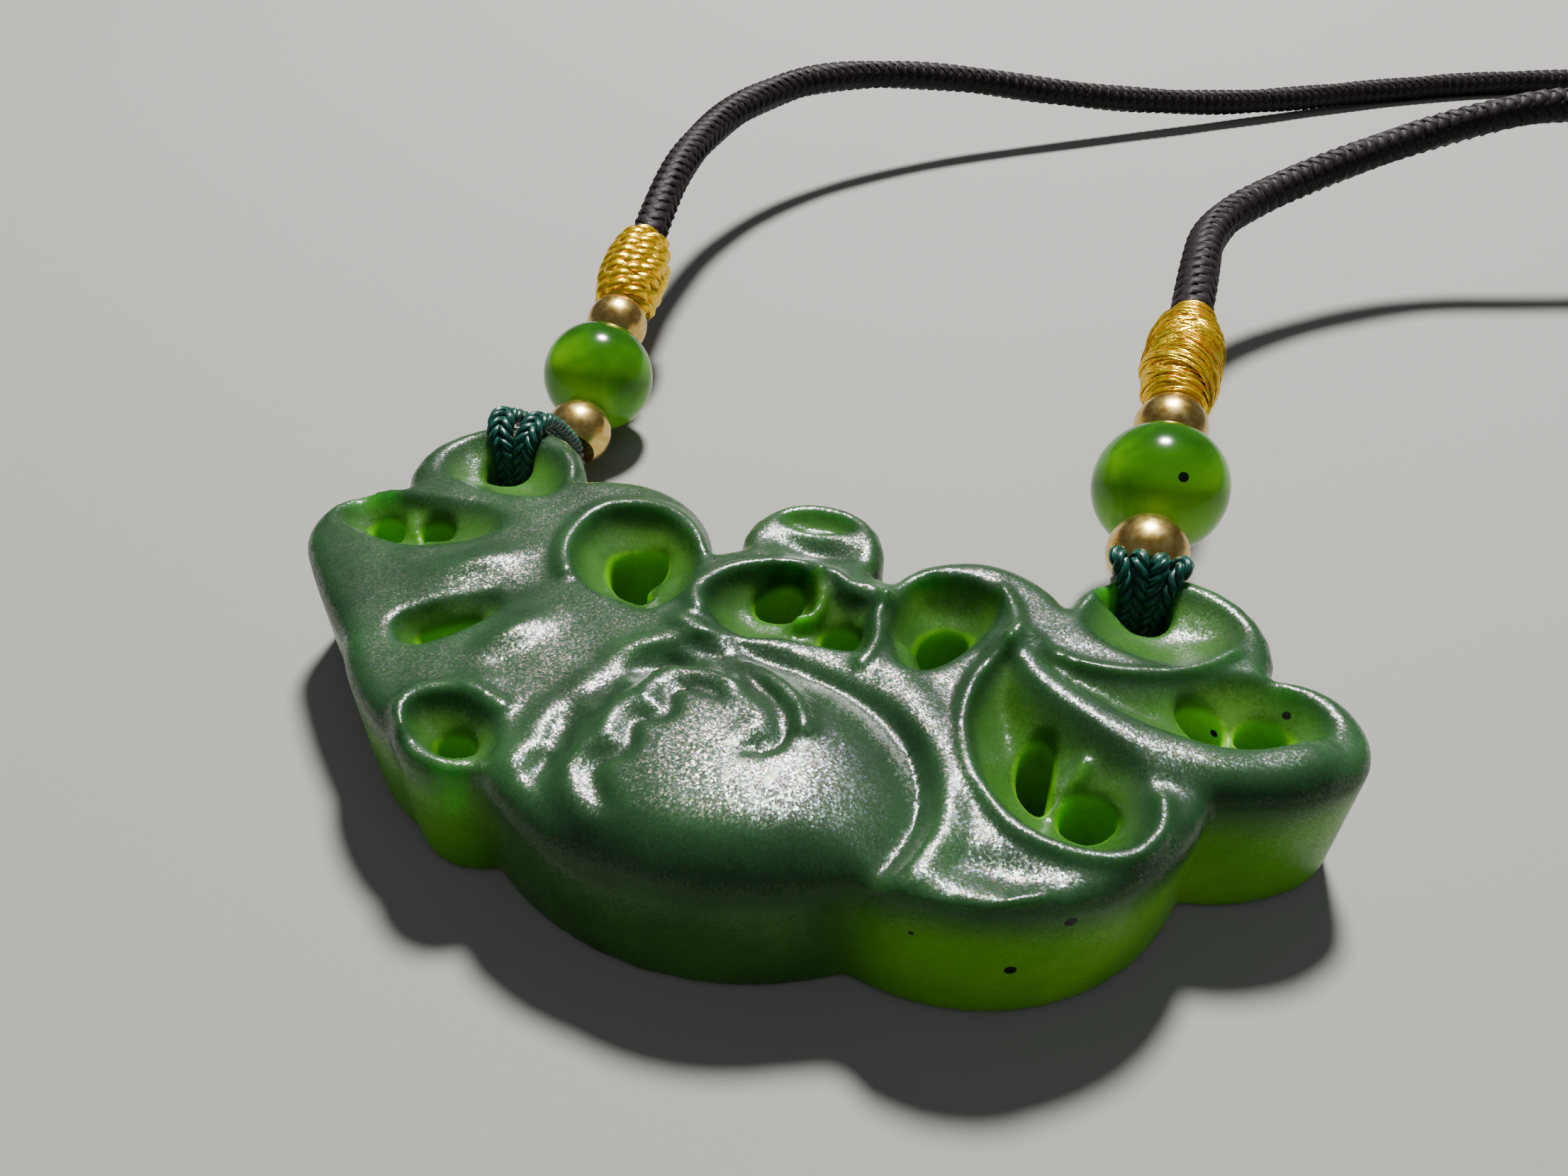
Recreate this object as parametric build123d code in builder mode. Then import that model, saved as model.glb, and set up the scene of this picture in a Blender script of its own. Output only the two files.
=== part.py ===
"""A carved nephrite phoenix pendant on a braided neck cord, lying flat on its back.

Millimetres. The origin is on the flat base of the carving, under the middle of it.
X runs along the carving to its right end, Y towards the tie holes, Z up.
"""

import os
from math import cos, pi, radians, sin, tan

from build123d import *

# The carving
carving_length = 56.2
carving_depth = 29.8
slab_height = 8.2
top_rounding = 1.2
base_rounding = 0.5
notch_rounding = 0.6

# The belly of the bird, a low dome in a sunk bed: its middle in shares of half the length and depth
belly_place = (0.030, -0.470)
belly_half_length = 8.2
belly_half_depth = 6.2
belly_rise = 0.95
belly_bed_depth = 0.8
belly_bed_margin = 0.6
dome_sink = 0.45
scallop_rise = 0.3
ridge_sink = 0.25
half_turn = 180
joint_tolerance = 0.01

# The bores for the tie threads, and the scoop under each that lets the thread pass
tie_bore_radius = 1.5
tie_scoop_depth = 1.75
tie_scoop_radius = 9.0
tie_scoop_reach = 2.2

# Thread, beads, wrapped knots and cord
thread_thickness = 0.9
thread_band_width = 2.0
thread_bend = 1.0
thread_clearance = 0.12
floor_gap = 0.1
corner_share = 0.45
bead_bore_radius = 0.75
jade_bead_radius = 4.0
gold_bead_radius = 2.3
gold_bead_length = 3.4
bead_gap = 0.15
wrap_lower_radius = 2.15
wrap_middle_radius = 2.7
wrap_upper_radius = 1.8
wrap_widest = 0.45
cord_diameter = 3.0

# Where each column of beads lies: its tie bore in shares of half the length and depth, which way
# its thread pulls and how far past the rim it meets the beads, then the column's own direction,
# the height of its jade bead and the length of its wrapped knot
# side, bore x, bore y, pull, reach, azimuth, slope, bead z, knot length
COLUMNS = [
    ("left", -0.747, 0.805, 92.5, 3.2, 100.0, 13.6, 4.95, 8.9),
    ("right", 0.626, 0.708, 92.5, 0.1, 88.7, 7.5, 7.45, 11.1),
]

# The lobes of the outline, anticlockwise seen from above, as shares of half the length and half
# the depth. The two flanks run on smoothly from the tips.
# lobe, start x, start y, middle x, middle y, end x, end y
LOBES = [
    ("left tip", -0.888, 0.477, -1.000, 0.258, -0.961, 0.023),
    ("left flank", -0.961, 0.023, -0.851, -0.173, -0.733, -0.356),
    ("second lobe", -0.733, -0.356, -0.644, -0.537, -0.527, -0.662),
    ("third lobe", -0.527, -0.662, -0.436, -0.754, -0.351, -0.718),
    ("belly", -0.351, -0.718, -0.028, -0.903, 0.270, -0.725),
    ("tail lobe", 0.270, -0.725, 0.566, -0.654, 0.762, -0.154),
    ("right flank", 0.762, -0.154, 0.874, -0.085, 0.968, 0.050),
    ("right tip", 0.968, 0.050, 0.989, 0.312, 0.849, 0.436),
    ("right tie lobe", 0.849, 0.436, 0.660, 0.872, 0.489, 0.584),
    ("bowl lobe", 0.489, 0.584, 0.338, 0.735, 0.164, 0.517),
    ("ring lobe", 0.121, 0.537, -0.011, 0.906, -0.144, 0.530),
    ("volute lobe", -0.192, 0.470, -0.313, 0.752, -0.548, 0.738),
    ("left tie lobe", -0.548, 0.738, -0.772, 1.040, -0.888, 0.477),
]

# Scooped bowls: middle in shares of half the length and depth, half length and half width in shares
# of half the length, then the turn in degrees and the depth as a share of the slab
# bowl, x, y, half length, half width, turn, depth
BOWLS = [
    ("left tip", -0.779, 0.275, 0.164, 0.075, 5.0, 0.22),
    ("left tie lobe", -0.708, 0.711, 0.142, 0.092, 5.0, 0.17),
    ("second lobe", -0.577, -0.162, 0.107, 0.064, 45.0, 0.20),
    ("third lobe", -0.420, -0.604, 0.089, 0.064, 0.0, 0.20),
    ("volute", -0.327, 0.343, 0.146, 0.128, 90.0, 0.24),
    ("crest", 0.007, 0.241, 0.156, 0.092, 0.0, 0.20),
    ("bowl lobe", 0.285, 0.343, 0.136, 0.089, 80.0, 0.24),
    ("ring dimple", -0.014, 0.758, 0.079, 0.039, 0.0, 0.12),
    ("right tie lobe", 0.651, 0.570, 0.138, 0.099, 0.0, 0.16),
    ("right tip", 0.733, 0.201, 0.206, 0.079, 0.0, 0.20),
    ("wing", 0.509, -0.148, 0.178, 0.118, -52.0, 0.25),
]

# Bores through the floors of the bowls: middle as above, and radius as a share of half the length
# bore, x, y, radius
BORES = [
    ("left tip outer", -0.861, 0.295, 0.033),
    ("left tip inner", -0.765, 0.343, 0.033),
    ("second lobe outer", -0.609, -0.174, 0.028),
    ("second lobe inner", -0.570, -0.100, 0.028),
    ("third lobe", -0.416, -0.611, 0.035),
    ("volute upper", -0.335, 0.403, 0.050),
    ("volute lower", -0.303, 0.275, 0.028),
    ("crest left", -0.022, 0.336, 0.044),
    ("crest right", 0.114, 0.248, 0.037),
    ("bowl lobe", 0.292, 0.369, 0.044),
    ("right tip inner", 0.730, 0.228, 0.035),
    ("right tip outer", 0.833, 0.235, 0.039),
    ("wing upper", 0.495, -0.127, 0.039),
    ("wing lower", 0.587, -0.255, 0.041),
]

# Raised lines: thickness as a share of half the length, then the points that tangent arcs join,
# in shares of half the length and depth
RIDGES = [
    ("volute rim", 0.019, [(-0.200, 0.393), (-0.314, 0.617), (-0.441, 0.527), (-0.433, 0.187)]),
    ("crest line", 0.019, [(0.145, 0.371), (0.034, 0.463), (-0.130, 0.300), (-0.049, 0.018),
                           (0.083, -0.195), (0.059, -0.417)]),
    ("wing edge", 0.019, [(0.413, 0.281), (0.363, 0.000), (0.413, -0.348), (0.550, -0.496),
                          (0.678, -0.380), (0.685, -0.236)]),
    ("wing back", 0.033, [(0.413, 0.281), (0.589, 0.041), (0.746, -0.018), (0.884, 0.065)]),
    ("tie arc", 0.015, [(0.417, 0.330), (0.589, 0.278), (0.727, 0.343), (0.810, 0.496)]),
]

# Feather scallops on the belly: row, middle x and y and radius, in shares of the belly's half
# length, half depth and half length, from the belly's middle
SCALLOPS = [
    ("upper", -0.652, 0.661, 0.159),
    ("upper", -0.835, 0.290, 0.159),
    ("upper", -0.921, -0.194, 0.159),
    ("middle", -0.348, 0.548, 0.159),
    ("middle", -0.579, 0.226, 0.159),
    ("middle", -0.701, -0.210, 0.159),
    ("lower", -0.177, 0.290, 0.165),
    ("lower", -0.372, 0.000, 0.165),
    ("lower", -0.457, -0.419, 0.165),
]

# The cord's way between the wrapped knots, from the left one to the right one
CORD_ROUTE = [
    (-28.0, 59.5, 11.2),
    (-28.0, 72.5, 11.5),
    (-23.6, 86.6, 11.3),
    (-12.6, 99.6, 9.0),
    (3.4, 110.6, 5.0),
    (20.6, 123.0, 2.3),
    (38.9, 138.1, 1.55),
    (54.0, 148.0, 1.5),
    (71.0, 155.0, 1.5),
    (90.0, 157.8, 1.5),
    (109.0, 155.8, 1.5),
    (127.0, 148.8, 1.5),
    (141.0, 136.0, 1.5),
    (149.0, 119.0, 1.5),
    (152.0, 100.0, 1.5),
    (151.0, 81.0, 1.5),
    (145.0, 63.5, 1.5),
    (133.0, 50.5, 1.5),
    (117.0, 46.5, 1.5),
    (103.5, 54.5, 1.5),
    (94.5, 67.5, 2.0),
    (84.5, 79.0, 4.6),
    (72.5, 86.0, 9.4),
    (60.0, 87.2, 14.0),
    (47.5, 83.2, 16.0),
    (37.6, 79.0, 13.8),
    (28.4, 70.9, 12.0),
    (21.2, 61.9, 10.9),
    (18.4, 54.6, 10.8),
]
# How far the cord runs straight on from each wrapped knot
cord_lead = 6.6

WRAP_RADII = [(0, wrap_lower_radius), (wrap_widest, wrap_middle_radius), (1, wrap_upper_radius)]

half_length = carving_length / 2
half_depth = carving_depth / 2
belly_centre = (belly_place[0] * half_length, belly_place[1] * half_depth)


def level(azimuth):
    """The level direction at that many degrees from the X axis."""
    return Vector(cos(radians(azimuth)), sin(radians(azimuth)), 0)


def column_plane(bead, azimuth, slope, along=0.0):
    """The plane across a column of beads, a distance along it from the middle of its jade bead."""
    direction = level(azimuth) * cos(radians(slope)) + Vector(0, 0, sin(radians(slope)))
    return Plane(origin=bead + direction * along, x_dir=level(azimuth - 90), z_dir=direction)


def on_outline(x, y):
    return (x * half_length, y * half_depth)


def on_top(x, y, height=0.0):
    return Vector(*on_outline(x, y), slab_height + height)


def corner_radii(points):
    """The largest tangent arc that each corner's two runs have room for."""
    radii = []
    for before, corner, after in zip(points, points[1:], points[2:]):
        turn = (corner - before).get_angle(after - corner)
        shorter = min((corner - before).length, (after - corner).length)
        radii.append(corner_share * shorter / tan(radians(turn) / 2))
    return radii


# The carving: one lobed slab with rounded edges
with BuildPart() as carving:
    with BuildSketch() as outline:
        with BuildLine():
            arcs = {}
            for lobe, start_x, start_y, middle_x, middle_y, end_x, end_y in LOBES:
                start, middle, end = ((start_x, start_y), (middle_x, middle_y), (end_x, end_y))
                arcs[lobe] = ThreePointArc(on_outline(*start), on_outline(*middle), on_outline(*end))
            Line(arcs["bowl lobe"] @ 1, arcs["ring lobe"] @ 0)
            Line(arcs["ring lobe"] @ 1, arcs["volute lobe"] @ 0)
        make_face()
        smooth = (arcs["left flank"] @ 0, arcs["right flank"] @ 1)
        notches = []
        for corner in outline.vertices():
            if min((corner.center() - joint).length for joint in smooth) > joint_tolerance:
                notches.append(corner)
        narrowest = min(edge.length for edge in outline.edges())
        fillet(notches, min(notch_rounding, corner_share * narrowest))
    extrude(amount=slab_height)
    fillet(carving.faces().sort_by(Axis.Z)[-1].edges(), top_rounding)
    fillet(carving.faces().sort_by(Axis.Z)[0].edges(), base_rounding)

    # The belly's bed, and the dome that lies in it
    with BuildSketch(Plane.XY.offset(slab_height - belly_bed_depth)):
        with Locations(belly_centre):
            Ellipse(belly_half_length + belly_bed_margin, belly_half_depth + belly_bed_margin)
    extrude(amount=slab_height, mode=Mode.SUBTRACT)

dome_rise = belly_rise + dome_sink
dome_radius = (belly_half_depth**2 + dome_rise**2) / (2 * dome_rise)
dome_stretch = belly_half_length / belly_half_depth
dome_middle = Vector(*belly_centre, slab_height + belly_rise - dome_radius)
with BuildPart() as dome:
    with BuildSketch(Plane.XY.offset(slab_height / 2)):
        with Locations(belly_centre):
            Ellipse(belly_half_length, belly_half_depth)
    extrude(amount=slab_height)
    with BuildSketch(Plane(dome_middle, x_dir=(1, 0, 0), z_dir=(0, -1, 0))):
        with BuildLine():
            EllipticalCenterArc((0, 0), dome_radius * dome_stretch, dome_radius, arc_size=half_turn)
            Line((-dome_radius * dome_stretch, 0), (dome_radius * dome_stretch, 0))
        make_face()
    revolve(axis=Axis(dome_middle, (1, 0, 0)), mode=Mode.INTERSECT)


def on_dome(x, y, height):
    """A place that high over the dome, in shares of the belly's half length and half depth."""
    fall = dome_radius - (dome_radius**2 - belly_half_depth**2 * (x**2 + y**2)) ** 0.5
    offset = Vector(x * belly_half_length, y * belly_half_depth)
    return Vector(*belly_centre, slab_height + belly_rise - fall + height) + offset


def bowl_cutter(x, y, half_long, half_wide, turn, depth):
    """A long round body that scoops an oval bowl of that size out of the top."""
    long, wide, deep = half_long * half_length, half_wide * half_length, depth * slab_height
    radius = (wide**2 + deep**2) / (2 * deep)
    stretch = long / wide
    middle = on_top(x, y, radius - deep)
    along = level(turn)
    with BuildPart() as cutter:
        with BuildSketch(Plane(middle, x_dir=along, z_dir=along.cross(Vector(0, 0, 1)))):
            with BuildLine():
                EllipticalCenterArc((0, 0), radius * stretch, radius, half_turn, arc_size=half_turn)
                Line((radius * stretch, 0), (-radius * stretch, 0))
            make_face()
        revolve(axis=Axis(middle, along))
    return cutter.part


def ridge(thickness, points):
    """A raised round line through the points, in arcs that run on smoothly, half sunk in the top."""
    places = [on_top(x, y, -thickness * half_length * ridge_sink) for x, y in points]
    with BuildPart() as line:
        with BuildLine() as way:
            reached = ThreePointArc(*places[:3])
            for place in places[3:]:
                reached = TangentArc(reached @ 1, place, tangent=reached % 1)
        with BuildSketch(Plane(way.line @ 0, z_dir=way.line % 0)):
            Circle(thickness * half_length)
        sweep()
        for end in (places[0], places[-1]):
            with Locations(end):
                Sphere(thickness * half_length)
    return line.part


bowls = [bowl_cutter(*row[1:]) for row in BOWLS]
ridges = [ridge(thickness, points) for _, thickness, points in RIDGES]

with carving:
    add(dome.part)
    for cutter in bowls:
        add(cutter, mode=Mode.SUBTRACT)
    for line in ridges:
        add(line)

    # Feather scallops stand a little proud of the dome
    for _, x, y, radius in SCALLOPS:
        ball = (radius * belly_half_length) ** 2 / (2 * scallop_rise)
        with Locations(on_dome(x, y, scallop_rise - ball)):
            Sphere(ball)

    # Bores through the bowls' floors and for the threads
    for _, x, y, radius in BORES:
        with Locations(on_top(x, y)):
            Cylinder(radius * half_length, 3 * slab_height, mode=Mode.SUBTRACT)
    for _, bore_x, bore_y, *_ in COLUMNS:
        bore = Vector(*on_outline(bore_x, bore_y))
        with Locations(bore):
            Cylinder(tie_bore_radius, 3 * slab_height, mode=Mode.SUBTRACT)
        with Locations(bore + Vector(0, tie_scoop_reach, tie_scoop_depth - tie_scoop_radius)):
            Sphere(tie_scoop_radius, mode=Mode.SUBTRACT)

pieces = {"jade_phoenix": carving.part}
route = [Vector(*point) for point in CORD_ROUTE]
step_to_gold = jade_bead_radius + bead_gap + gold_bead_length / 2
wrap_start = step_to_gold + gold_bead_length / 2 + bead_gap
gold_face_radius = (gold_bead_radius**2 - gold_bead_length**2 / 4) ** 0.5

for side, bore_x, bore_y, pull, reach, azimuth, slope, bead_height, wrap_length in COLUMNS:
    # The rim between the bore and the outline, the widest over the width of the thread
    bore = Vector(*on_outline(bore_x, bore_y))
    outward = level(pull)
    upright = Plane(bore, x_dir=outward, z_dir=outward.cross(Vector(0, 0, 1)))
    rim = 0
    for share in (-0.5, 0, 0.5):
        start = bore + upright.z_dir * (share * thread_band_width)
        in_slab = outline.sketch.face().intersect(Edge.make_line(start, start + outward * half_depth))
        rim = max(rim, in_slab.edges().sort_by_distance(start)[0].length)

    # The thread's loop meets the lower gold bead that far out of the rim, and the beads follow
    half = thread_thickness / 2
    shoulder = rim + thread_clearance + half
    meeting = shoulder + reach
    column_way = column_plane(bore, azimuth, slope).z_dir
    tilt = abs(column_way.Z) + abs(column_way.dot(upright.z_dir))
    loop_place = bore + outward * (meeting + half + gold_face_radius * tilt)
    bead = loop_place + column_way * (wrap_start - bead_gap)
    bead.Z = bead_height

    with BuildPart(column_plane(bead, azimuth, slope)) as jade_bead:
        Sphere(jade_bead_radius)
        Cylinder(bead_bore_radius, 3 * jade_bead_radius, mode=Mode.SUBTRACT)
    pieces[f"{side}_jade_bead"] = jade_bead.part

    for place, along in (("lower", -step_to_gold), ("upper", step_to_gold)):
        with BuildPart(column_plane(bead, azimuth, slope, along)) as gold_bead:
            Sphere(gold_bead_radius)
            Cylinder(2 * gold_bead_radius, gold_bead_length, mode=Mode.INTERSECT)
            Cylinder(bead_bore_radius, 2 * gold_bead_length, mode=Mode.SUBTRACT)
        pieces[f"{side}_gold_bead_{place}"] = gold_bead.part

    with BuildPart() as wrap:
        for share, radius in WRAP_RADII:
            with BuildSketch(column_plane(bead, azimuth, slope, wrap_start + share * wrap_length)):
                Circle(radius)
        loft()
    pieces[f"{side}_wrapped_knot"] = wrap.part

    # The thread: a flat loop round the rim of the tie lobe, and a stem through the beads
    loop_height = column_plane(bead, azimuth, slope, bead_gap - wrap_start).origin.Z
    inner = tie_bore_radius - thread_clearance - thread_thickness
    over = slab_height + thread_clearance + half
    under = floor_gap + half
    corners = [
        (inner, over),
        (shoulder, over),
        (meeting, loop_height + half),
        (meeting, loop_height - half),
        (shoulder, under),
        (inner, under),
    ]
    bend = min(thread_bend, *corner_radii([Vector(*corner) for corner in corners + corners[:2]]))
    with BuildPart() as thread:
        with BuildLine(upright) as loop:
            FilletPolyline(*corners, radius=bend, close=True)
        with BuildSketch(Plane(loop.line @ 0, x_dir=upright.z_dir, z_dir=loop.line % 0)):
            SlotOverall(thread_band_width, thread_thickness)
        sweep()
        with BuildSketch(column_plane(bead, azimuth, slope, wrap_start)):
            Circle(half)
        extrude(amount=bead_gap - 2 * wrap_start - thread_thickness)
    pieces[f"{side}_tie_thread"] = thread.part
    print(side, "rim", round(rim, 2), "meeting", round(meeting, 2), "bead", [round(v, 2) for v in bead])

    knot_end = column_plane(bead, azimuth, slope, wrap_start + wrap_length)
    ends = [knot_end.origin, knot_end.origin + knot_end.z_dir * cord_lead]
    route = ends + route if side == "left" else route + ends[::-1]

cord_radii = corner_radii(route)
with BuildPart() as cord:
    with BuildLine() as cord_line:
        FilletPolyline(*route, radius=cord_radii)
    with BuildSketch(Plane(cord_line.line @ 0, z_dir=cord_line.line % 0)):
        Circle(cord_diameter / 2)
    sweep()
pieces["neck_cord"] = cord.part

os.makedirs("parts", exist_ok=True)
for name, piece in pieces.items():
    piece.label = name
    export_step(piece, f"parts/{name}.step")

section = pi * cord_diameter**2 / 4
cord_length = sum(edge.length for edge in cord_line.edges())
print("cord radii", [round(r, 1) for r in cord_radii])
print("cord length", round(cord_length, 1))
print("cord volume", round(cord.part.volume, 1), "section times length", round(section * cord_length, 1))
for name, piece in pieces.items():
    print(name, round(piece.volume, 1), "solids", len(piece.solids()))
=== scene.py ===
"""Looks for a carved jade phoenix pendant on a braided neck cord, lying flat."""

from math import cos, pi, radians, sin

import bmesh
import bpy
import numpy as np
from mathutils import Matrix, Vector


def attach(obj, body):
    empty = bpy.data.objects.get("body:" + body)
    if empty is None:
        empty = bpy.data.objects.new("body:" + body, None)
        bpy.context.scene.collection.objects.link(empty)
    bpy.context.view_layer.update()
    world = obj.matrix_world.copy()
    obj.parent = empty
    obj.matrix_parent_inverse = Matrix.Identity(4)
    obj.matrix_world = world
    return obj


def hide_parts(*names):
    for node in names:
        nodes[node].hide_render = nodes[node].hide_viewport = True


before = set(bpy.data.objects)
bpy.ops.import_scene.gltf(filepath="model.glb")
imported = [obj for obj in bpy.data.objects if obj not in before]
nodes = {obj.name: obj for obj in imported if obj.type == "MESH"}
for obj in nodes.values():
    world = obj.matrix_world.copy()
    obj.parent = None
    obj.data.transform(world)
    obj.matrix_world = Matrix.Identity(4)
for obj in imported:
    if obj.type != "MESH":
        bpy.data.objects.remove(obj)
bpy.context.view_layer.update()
MM = 0.001

# Sizes in millimetres, as the solids have them
half_length = 28.1
half_depth = 14.9
slab_height = 8.2
jade_bead_radius = 4.0
gold_bead_length = 3.4
bead_gap = 0.15
wrap_lengths = {"left": 8.9, "right": 11.1}
cord_diameter = 3.0
cord_lead = 6.6

# side: bore x, bore y, jade bead x, y, z, azimuth, slope
columns = {
    "left": (-21.0, 12.0, -22.63, 27.58, 4.95, 100.0, 13.6),
    "right": (17.6, 10.55, 17.59, 21.85, 7.45, 88.7, 7.5),
}


def along_column(side, distance):
    """A point on the axis of a column of beads, that far from the middle of its jade bead."""
    _, _, x, y, z, azimuth, slope = columns[side]
    flat = cos(radians(slope))
    way = Vector((flat * cos(radians(azimuth)), flat * sin(radians(azimuth)), sin(radians(slope))))
    return Vector((x, y, z)) + way * distance


def column_axes(side):
    """Sideways, upright and lengthwise directions of a column."""
    way = (along_column(side, 1) - along_column(side, 0)).normalized()
    sideways = way.cross(Vector((0, 0, 1))).normalized()
    return sideways, sideways.cross(way), way


def new_object(name, data):
    """An object in the scene that shows this mesh, curve, camera or light."""
    made = bpy.data.objects.new(name, data)
    bpy.context.scene.collection.objects.link(made)
    return made


def plain_mesh(name, curve):
    """The mesh that a curve gives."""
    holder = new_object(name, curve)
    mesh = bpy.data.meshes.new_from_object(holder)
    bpy.data.objects.remove(holder)
    return mesh


def into_scene(name, mesh, material):
    """Puts a mesh made in millimetres into the scene in metres, riding on the root."""
    mesh.transform(Matrix.Scale(MM, 4))
    mesh.materials.clear()
    mesh.materials.append(material)
    mesh.shade_smooth()
    piece = new_object(name, mesh)
    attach(piece, "root")
    return piece


# Materials


def hex_colour(code):
    """An sRGB hex value as the linear colour that a shader takes."""
    parts = [int(code[i : i + 2], 16) / 255 for i in (1, 3, 5)]
    linear = [c / 12.92 if c <= 0.04045 else ((c + 0.055) / 1.055) ** 2.4 for c in parts]
    return (*linear, 1.0)


def per_metre(size):
    """The scale of a pattern on coordinates in metres, from the size of one spot in millimetres."""
    return 1 / (size * MM)


def new_material(name):
    """A new material, its node tree and its main shader."""
    material = bpy.data.materials.new(name)
    material.use_nodes = True
    tree = material.node_tree
    return material, tree, tree.nodes["Principled BSDF"]


def set_inputs(node, values):
    """Sets the sockets of a node to fixed values."""
    for key, value in values.items():
        node.inputs[key].default_value = value


def add_node(tree, kind, settings=None, inputs=None, links=None):
    """Adds a node, sets its properties and inputs, and links outputs of other nodes to its inputs."""
    node = tree.nodes.new("ShaderNode" + kind)
    for key, value in (settings or {}).items():
        setattr(node, key, value)
    set_inputs(node, inputs or {})
    for key, output in (links or {}).items():
        tree.links.new(output, node.inputs[key])
    return node


def colour_steps(ramp, steps):
    """Sets a colour ramp from (place, hex colour) pairs."""
    stops = ramp.color_ramp.elements
    while len(stops) > 1:
        stops.remove(stops[-1])
    for i, (place, code) in enumerate(steps):
        stop = stops[0] if i == 0 else stops.new(place)
        stop.position = place
        stop.color = hex_colour(code)


# The drawn width of the grains in millimetres, how far each tilts, and the haze against the gloss
drawn_grain = 1 / 11
grain_tilt = 0.2
haze_share = 0.27


def make_carved_jade():
    """Nephrite, satin polished: fine interlocked fibres glitter in pale rainbow tints, and thin
    places let a yellow-green light through, partly as subsurface light and partly as a painted glow."""
    material, tree, skin = new_material("satin nephrite")
    here = add_node(tree, "TexCoord").outputs["Object"]
    painted_glow = add_node(tree, "Attribute", {"attribute_name": "painted_glow"})

    # Clouds about 6 mm across, darker and greyer
    clouds = add_node(tree, "TexNoise", None, {"Scale": per_metre(6.25), "Detail": 4.0}, {"Vector": here})
    deep = add_node(tree, "ValToRGB", links={"Fac": clouds.outputs["Fac"]})
    colour_steps(deep, [(0.3, "#122c16"), (0.55, "#1a3b1d"), (0.75, "#244a24")])
    # Painted light: a lighter copy of the colours, mixed in by the painted glow where light would come
    # through thin jade
    painted_lit = add_node(tree, "ValToRGB", links={"Fac": clouds.outputs["Fac"]})
    colour_steps(painted_lit, [(0.3, "#468608"), (0.55, "#5a9e0c"), (0.75, "#76b41c")])
    body = add_node(tree, "Mix", {"data_type": "RGBA"}, None,
                    {"Factor": painted_glow.outputs["Fac"], "A": deep.outputs["Color"], "B": painted_lit.outputs["Color"]})

    # Black graphite specks up to 0.6 mm across, in a few patches
    specks = add_node(tree, "TexVoronoi", None, {"Scale": per_metre(2.381)}, {"Vector": here})
    patches = add_node(tree, "TexNoise", None, {"Scale": per_metre(11.11), "Detail": 2.0}, {"Vector": here})
    gate = add_node(tree, "MapRange", None,
                    {"From Min": 0.62, "From Max": 0.66, "To Min": 0.0, "To Max": 0.12},
                    {"Value": patches.outputs["Fac"]})
    dot = add_node(tree, "Math", {"operation": "LESS_THAN"}, None,
                   {0: specks.outputs["Distance"], 1: gate.outputs["Result"]})
    colour = add_node(tree, "Mix", {"data_type": "RGBA"}, {"B": hex_colour("#0c120a")},
                      {"Factor": dot.outputs["Value"], "A": body.outputs["Result"]})
    tree.links.new(colour.outputs["Result"], skin.inputs["Base Color"])

    # Polish: a soft gloss, a little duller in patches of 2 mm
    wear = add_node(tree, "TexNoise", None, {"Scale": per_metre(2), "Detail": 3.0}, {"Vector": here})
    gloss = add_node(tree, "MapRange", None,
                     {"From Min": 0.3, "From Max": 0.7, "To Min": 0.25, "To Max": 0.32},
                     {"Value": wear.outputs["Fac"]})
    tree.links.new(gloss.outputs["Result"], skin.inputs["Roughness"])

    # Each grain tilts its own way and tints its glint. The real grain is under 0.05 mm, too fine
    # to show, so it is drawn at a coarser size
    grain = add_node(tree, "TexVoronoi", None, {"Scale": per_metre(drawn_grain)}, {"Vector": here})
    soft = add_node(tree, "TexNoise", None, {"Scale": per_metre(1.111), "Detail": 3.0}, {"Vector": here})
    ripple = add_node(tree, "Bump", None, {"Strength": 0.25, "Distance": 0.00012},
                      {"Height": soft.outputs["Fac"]})
    centred = add_node(tree, "VectorMath", {"operation": "SUBTRACT"}, {1: (0.5, 0.5, 0.5)},
                       {0: grain.outputs["Color"]})
    tilt = add_node(tree, "VectorMath", {"operation": "SCALE"}, {"Scale": grain_tilt},
                    {0: centred.outputs["Vector"]})
    leaning = add_node(tree, "VectorMath", {"operation": "ADD"}, None,
                       {0: ripple.outputs["Normal"], 1: tilt.outputs["Vector"]})
    facet = add_node(tree, "VectorMath", {"operation": "NORMALIZE"}, None, {0: leaning.outputs["Vector"]})
    tree.links.new(facet.outputs["Vector"], skin.inputs["Normal"])
    tint = add_node(tree, "Mix", {"data_type": "RGBA"}, {"Factor": 0.5, "A": (1.0, 1.0, 1.0, 1.0)},
                    {"B": grain.outputs["Color"]})
    tree.links.new(tint.outputs["Result"], skin.inputs["Specular Tint"])

    # The level faces are polished; the walls are left duller, and show their colour
    facing = add_node(tree, "NewGeometry")
    upward = add_node(tree, "SeparateXYZ", links={"Vector": facing.outputs["Normal"]})
    polish = add_node(tree, "MapRange", None,
                      {"From Min": 0.25, "From Max": 0.75, "To Min": 0.1, "To Max": 0.5},
                      {"Value": upward.outputs["Z"]})
    tree.links.new(polish.outputs["Result"], skin.inputs["Specular IOR Level"])
    # The satin haze, wider than the glints
    haze = add_node(tree, "Math", {"operation": "MULTIPLY"}, {1: haze_share}, {0: polish.outputs["Result"]})
    tree.links.new(haze.outputs["Value"], skin.inputs["Coat Weight"])
    set_inputs(skin, {"Coat Roughness": 0.6, "IOR": 1.61, "Subsurface Weight": 0.7,
                      "Subsurface Radius": (0.45, 1.0, 0.2), "Subsurface Scale": 0.0045})
    return material


# The right bead's black speck: where it is and its radius, in metres
bead_speck = (0.01851, 0.01909, 0.01019)
bead_speck_radius = 0.0003
# Painted light: the side that faces this way is painted lighter, as light from behind and above would
# gather there
painted_light_side = (0.0, -0.55, -0.83)


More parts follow.
